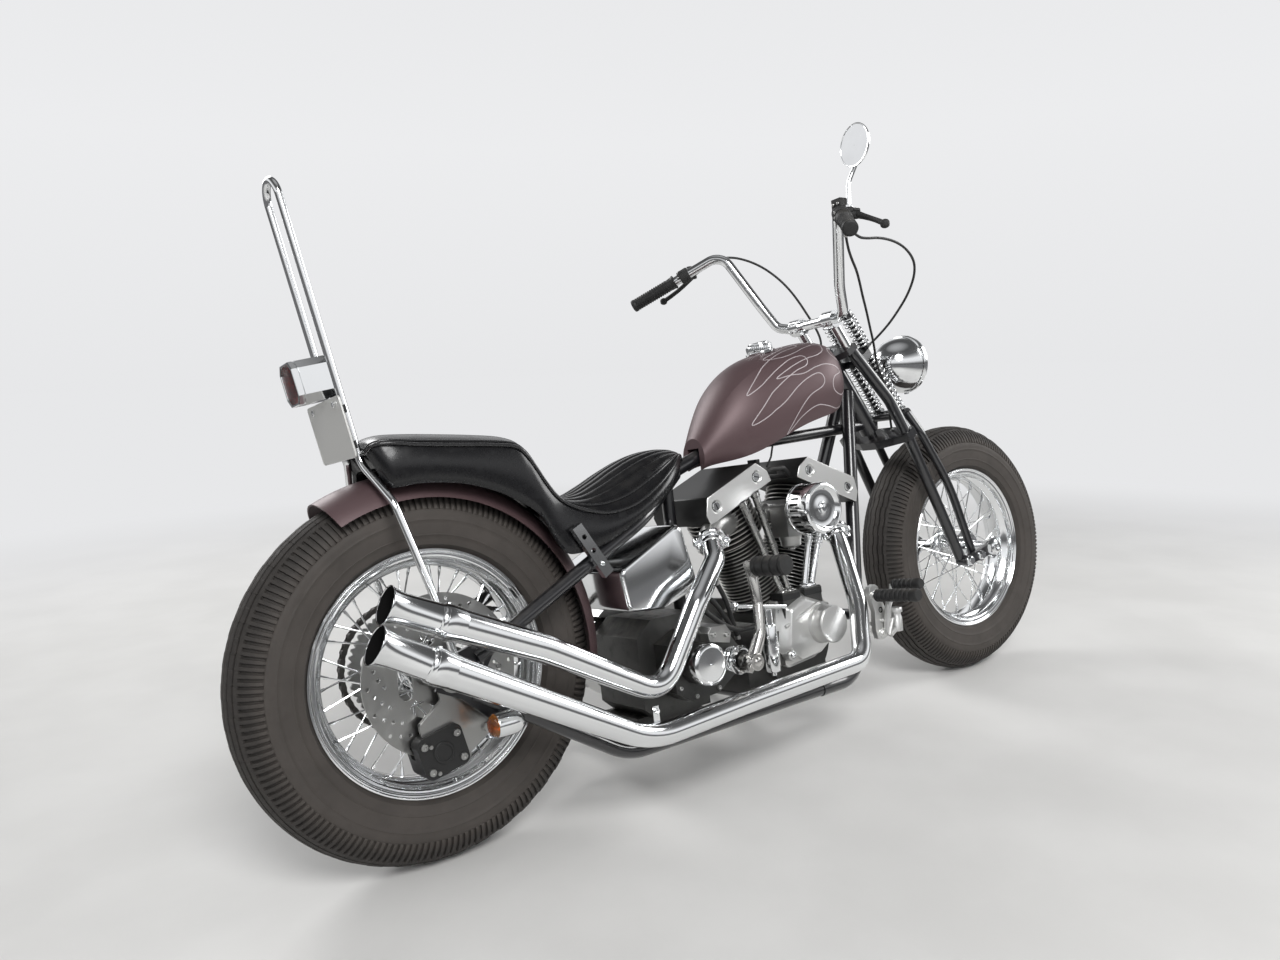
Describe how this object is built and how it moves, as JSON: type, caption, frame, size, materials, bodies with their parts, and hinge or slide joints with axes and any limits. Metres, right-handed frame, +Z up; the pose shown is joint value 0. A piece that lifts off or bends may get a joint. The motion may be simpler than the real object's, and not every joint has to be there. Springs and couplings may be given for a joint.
{
  "type": "chopper motorcycle",
  "caption": "Rigid-frame chopper with springer fork, high bars, tall passenger bar, vee-twin engine, stepped saddle and twin side exhausts, parked on its side stand.",
  "frame": {"origin": "middle of the footprint on the ground, as parked", "axes": "+X forward, +Y to the rider's left, +Z up; the machine leans 9.1 degrees to its left"},
  "size_m": [2.2739, 0.8364, 1.3812],
  "materials": {
    "frame_black": "gloss black enamel",
    "body_paint": "satin metallic purple-brown",
    "chrome": "mirror chrome",
    "polished_aluminium": "hand polished with fine scratches",
    "cast_aluminium": "dull casting",
    "engine_black": "satin heat-proof black",
    "steel": "plated steel",
    "tyre": "dusty rubber",
    "rubber": "moulded rubber",
    "leather": "black smooth leather",
    "black_plastic": "matt black",
    "plate_white": "bare enamelled plate"
  },
  "bodies": {
    "chassis": {"air_cleaner": "chrome", "axle_plates": "frame_black", "brake_caliper": "engine_black", "cam_cover": "polished_aluminium", "carburettor": "cast_aluminium", "crankcase": "cast_aluminium", "cylinder_heads": "engine_black", "cylinders": "engine_black", "drive_chain": "steel", "exhausts": "chrome", "forward_controls": "chrome", "frame_backbone": "frame_black", "frame_cross_tubes": "frame_black", "frame_downtubes": "frame_black", "frame_lower_rails": "frame_black", "frame_upper_stays": "frame_black", "fuel_tank": "body_paint", "gearbox": "cast_aluminium", "kick_starter": "chrome", "number_plate": "plate_white", "oil_tank": "chrome", "passenger_pegs": "chrome", "primary_cover": "polished_aluminium", "pushrod_tubes": "chrome", "rear_axle": "chrome", "rear_fender": "body_paint", "rocker_boxes": "polished_aluminium", "seat": "leather", "sissy_bar": "chrome", "tail_lamp": "chrome", "turn_signals": "chrome"},
    "front_fork": {"control_cables": "rubber", "fork_rigid_legs": "frame_black", "fork_rockers": "frame_black", "fork_spring_legs": "frame_black", "fork_springs": "chrome", "front_axle": "chrome", "grips": "rubber", "hand_levers": "black_plastic", "handlebar": "chrome", "headlamp": "chrome", "mirror": "chrome"},
    "front_wheel": {"front_hub_and_spokes": "chrome", "front_rim": "chrome", "front_tyre": "tyre"},
    "rear_wheel": {"brake_disc": "steel", "rear_hub_and_spokes": "chrome", "rear_rim": "chrome", "rear_sprocket": "steel", "rear_tyre": "tyre"},
    "side_stand": {"side_stand": "engine_black"}
  },
  "joints": [
    {"name": "steering", "type": "hinge", "parent": "chassis", "child": "front_fork", "pos_m": [0.74718, -0.12647, 0.30503], "axis": [-0.545, 0.1329, 0.8278], "range_deg": [-28.96, 35.04]},
    {"name": "front_wheel_spin", "type": "hinge", "parent": "front_fork", "child": "front_wheel", "pos_m": [0.79725, -0.12445, 0.33767], "axis": [0.0445, 0.9906, -0.1297], "continuous": true},
    {"name": "rear_wheel_spin", "type": "hinge", "parent": "chassis", "child": "rear_wheel", "pos_m": [-0.79698, -0.12142, 0.33651], "axis": [0, 0.9874, -0.1585], "continuous": true},
    {"name": "stand_swing", "type": "hinge", "parent": "chassis", "child": "side_stand", "pos_m": [0.00313, 0.00742, 0.07919], "axis": [0.1282, 0.3643, 0.9224], "range_deg": [0, 112]}
  ]
}
